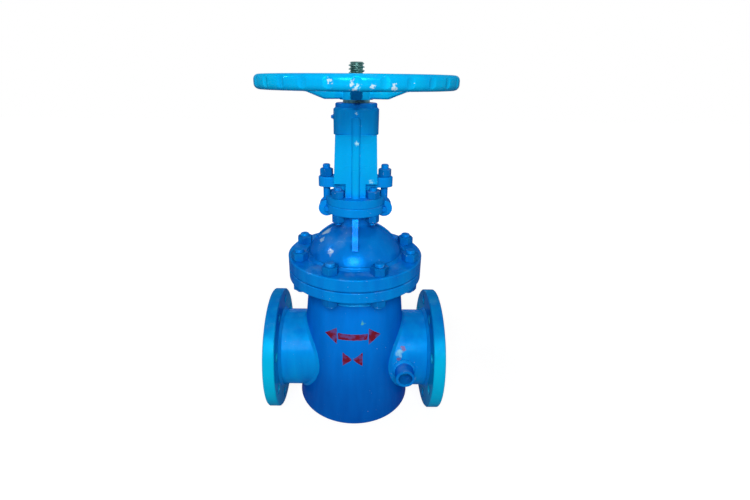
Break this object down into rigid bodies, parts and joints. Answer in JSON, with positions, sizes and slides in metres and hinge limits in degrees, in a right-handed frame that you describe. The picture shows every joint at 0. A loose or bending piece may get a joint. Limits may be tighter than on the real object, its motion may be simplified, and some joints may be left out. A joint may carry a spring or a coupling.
{
  "type": "jacketed gate valve",
  "caption": "Steam-jacketed rising-stem gate valve with flanged ends, tapered jacket, bolted domed bonnet, ribbed yoke, gland with swing bolts and a spoked handwheel.",
  "frame": {"origin": "centre of the inlet face, on the axis of the bore", "axes": "+X along the flow towards the outlet, +Z along the stem towards the handwheel"},
  "size_m": [0.312, 0.2988, 0.6096],
  "materials": {
    "blue_paint": "glossy enamel",
    "bare_steel": "machined",
    "stem_steel": "oiled machined steel",
    "packing": "graphite sheet and braid"
  },
  "bodies": {
    "valve_body": {"wedge_chamber": "blue_paint", "flow_tube_inlet": "blue_paint", "flow_tube_outlet": "blue_paint", "inlet_flange": "blue_paint", "outlet_flange": "blue_paint", "body_flange": "blue_paint", "jacket_shell": "blue_paint", "jacket_nozzle_inlet": "blue_paint", "jacket_nozzle_outlet": "blue_paint", "jacket_port_front": "blue_paint", "jacket_port_back": "blue_paint", "inlet_seat_ring": "bare_steel", "outlet_seat_ring": "bare_steel", "bonnet_gasket": "packing", "bonnet_flange": "blue_paint", "bonnet": "blue_paint", "bonnet_studs": "blue_paint", "bonnet_top_nuts": "blue_paint", "bonnet_bottom_nuts": "blue_paint", "yoke": "blue_paint", "yoke_cap": "blue_paint", "grease_nipple": "blue_paint", "yoke_studs": "blue_paint", "yoke_top_nuts": "blue_paint", "yoke_bottom_nuts": "blue_paint", "gland_packing": "packing", "gland_flange": "blue_paint", "eye_bolt_inlet": "blue_paint", "eye_bolt_outlet": "blue_paint", "eye_pin_inlet": "blue_paint", "eye_pin_outlet": "blue_paint", "gland_nut_inlet": "blue_paint", "gland_nut_outlet": "blue_paint"},
    "stem": {"stem": "stem_steel", "wedge": "bare_steel"},
    "handwheel": {"handwheel": "blue_paint", "stem_nut": "stem_steel", "wheel_lock_nut": "stem_steel"}
  },
  "joints": [
    {"name": "handwheel_turn", "type": "hinge", "parent": "valve_body", "child": "handwheel", "pos_m": [0.156, 0, 0.45], "axis": [0, 0, 1], "range_deg": [0, 8280]},
    {"name": "stem_lift", "type": "slide", "parent": "valve_body", "child": "stem", "axis": [0, 0, 1], "range_m": [0, 0.115]}
  ],
  "couplings": [
    {"joint": "stem_lift", "follows": "handwheel_turn", "m_per_rad": 0.00079577}
  ]
}
